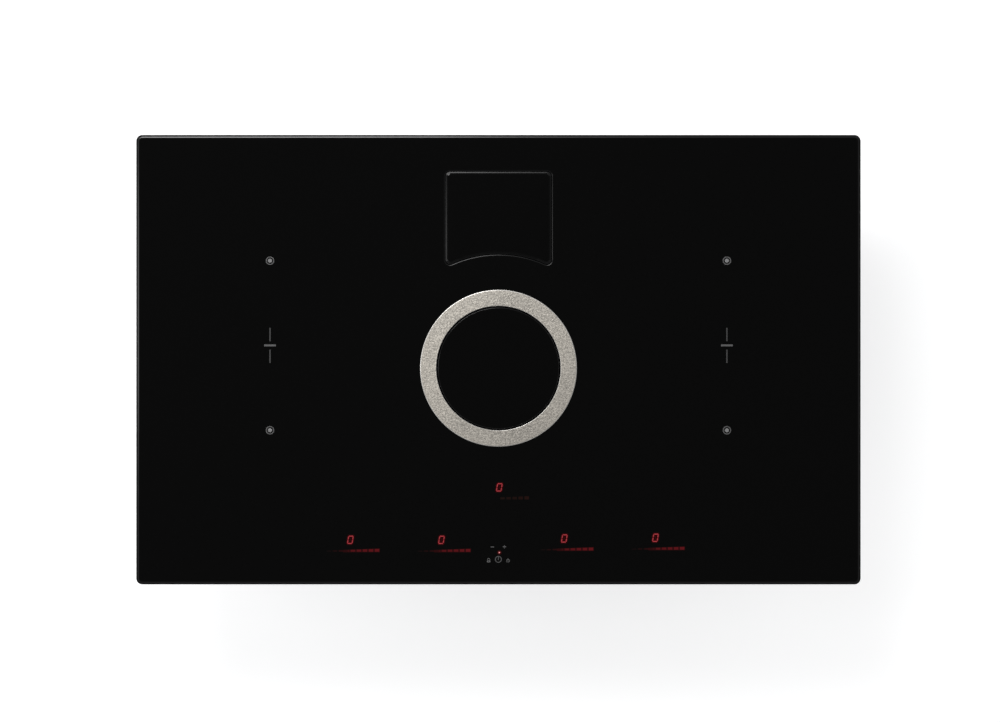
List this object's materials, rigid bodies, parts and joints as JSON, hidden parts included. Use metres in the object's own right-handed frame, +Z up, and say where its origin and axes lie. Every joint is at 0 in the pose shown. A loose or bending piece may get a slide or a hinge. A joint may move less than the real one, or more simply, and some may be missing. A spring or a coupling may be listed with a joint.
{
  "type": "downdraft induction cooktop",
  "caption": "Built-in black glass induction cooktop with a central ring-shaped downdraft intake, tilting flap, lift-out grease filter, blower below and a scale plate in the glass.",
  "frame": {"origin": "middle of the glass seen from above, at the level of the flat underside that the hob stands on", "axes": "+X to the right along the glass, +Y to the wall behind, +Z up out of the glass"},
  "size_m": [0.83, 0.515, 0.2257],
  "materials": {
    "glass_black": "polished black glass-ceramic",
    "flap_black": "polished black glass",
    "ring_metal": "fine bead-blasted, warm grey",
    "pin_steel": "ground steel",
    "foam_black": "closed-cell foam tape",
    "seal_black": "moulded rubber",
    "plastic_black": "fine moulded texture",
    "plastic_grey": "moulded, satin",
    "filter_steel": "brushed stainless steel",
    "mesh_steel": "woven wire",
    "casing_steel": "zinc-coated sheet",
    "spring_steel": "bright spring steel",
    "copper": "enamelled copper strand",
    "ferrite": "sintered ferrite",
    "insulation": "pressed mica and fibre",
    "carrier_cream": "heat-proof moulding",
    "tray_alu": "mill finish sheet",
    "sink_alu": "extruded, plain",
    "cell_alu": "machined",
    "board_green": "solder mask",
    "holder_white": "moulded light guide",
    "motor_steel": "zinc-coated motor shell"
  },
  "bodies": {
    "hob": {"glass_top": "glass_black", "worktop_tape": "foam_black", "intake_collar": "plastic_black", "load_cell": "cell_alu", "scale_well": "plastic_black", "air_box_upper": "plastic_grey", "air_box_lower": "plastic_grey", "scroll_case": "plastic_grey", "scroll_cover": "plastic_grey", "blower_motor": "motor_steel", "outlet_spigot": "plastic_grey", "control_holder": "holder_white", "control_board": "board_green", "terminal_box": "plastic_black", "terminal_cover": "plastic_black", "cable_gland": "plastic_black", "base_casing": "casing_steel", "insulation_sheet_left": "insulation", "coil_tray_left": "tray_alu", "power_board_left": "board_green", "heat_sink_left": "sink_alu", "fan_frame_left": "plastic_black", "coil_winding_left_rear": "copper", "coil_carrier_left_rear": "carrier_cream", "ferrite_star_left_rear": "ferrite", "side_spring_left_rear": "spring_steel", "coil_winding_left_front": "copper", "coil_carrier_left_front": "carrier_cream", "ferrite_star_left_front": "ferrite", "side_spring_left_front": "spring_steel", "insulation_sheet_right": "insulation", "coil_tray_right": "tray_alu", "power_board_right": "board_green", "heat_sink_right": "sink_alu", "fan_frame_right": "plastic_black", "coil_winding_right_rear": "copper", "coil_carrier_right_rear": "carrier_cream", "ferrite_star_right_rear": "ferrite", "side_spring_right_rear": "spring_steel", "coil_winding_right_front": "copper", "coil_carrier_right_front": "carrier_cream", "ferrite_star_right_front": "ferrite", "side_spring_right_front": "spring_steel"},
    "drip_tray": {"drip_tray": "plastic_grey"},
    "filter": {"filter_basket": "filter_steel", "filter_mesh": "mesh_steel", "filter_grip": "plastic_black"},
    "ring": {"intake_ring": "ring_metal", "ring_seal": "seal_black"},
    "flap": {"flap_glass": "flap_black", "flap_carrier": "plastic_black", "flap_pin_left": "pin_steel", "flap_pin_right": "pin_steel"},
    "impeller": {"blower_impeller": "plastic_black", "motor_shaft": "pin_steel"},
    "fan_left": {"fan_rotor_left": "plastic_black"},
    "fan_right": {"fan_rotor_right": "plastic_black"},
    "scale": {"scale_plate": "glass_black", "scale_spider": "cell_alu"}
  },
  "joints": [
    {"name": "drip_tray_lift", "type": "slide", "parent": "hob", "child": "drip_tray", "axis": [0, 0, 1], "range_m": [0, 0.235]},
    {"name": "filter_lift", "type": "slide", "parent": "drip_tray", "child": "filter", "axis": [0, 0, 1], "range_m": [0, 0.125]},
    {"name": "ring_lift", "type": "slide", "parent": "filter", "child": "ring", "axis": [0, 0, 1], "range_m": [0, 0.03]},
    {"name": "flap_tilt", "type": "hinge", "parent": "ring", "child": "flap", "pos_m": [0, -0.0097, 0.2132], "axis": [1, 0, 0], "range_deg": [0, 45]},
    {"name": "impeller_spin", "type": "hinge", "parent": "hob", "child": "impeller", "pos_m": [0.212, -0.02, 0.05], "axis": [0, 0, 1], "continuous": true},
    {"name": "fan_left_spin", "type": "hinge", "parent": "hob", "child": "fan_left", "pos_m": [-0.262, 0.165, 0.177], "axis": [0, 0, 1], "continuous": true},
    {"name": "fan_right_spin", "type": "hinge", "parent": "hob", "child": "fan_right", "pos_m": [0.262, 0.165, 0.177], "axis": [0, 0, 1], "continuous": true},
    {"name": "scale_press", "type": "slide", "parent": "hob", "child": "scale", "axis": [0, 0, -1], "range_m": [0, 0.0005], "stiffness_N_per_m": 20000, "springref_m": -0.0002}
  ]
}
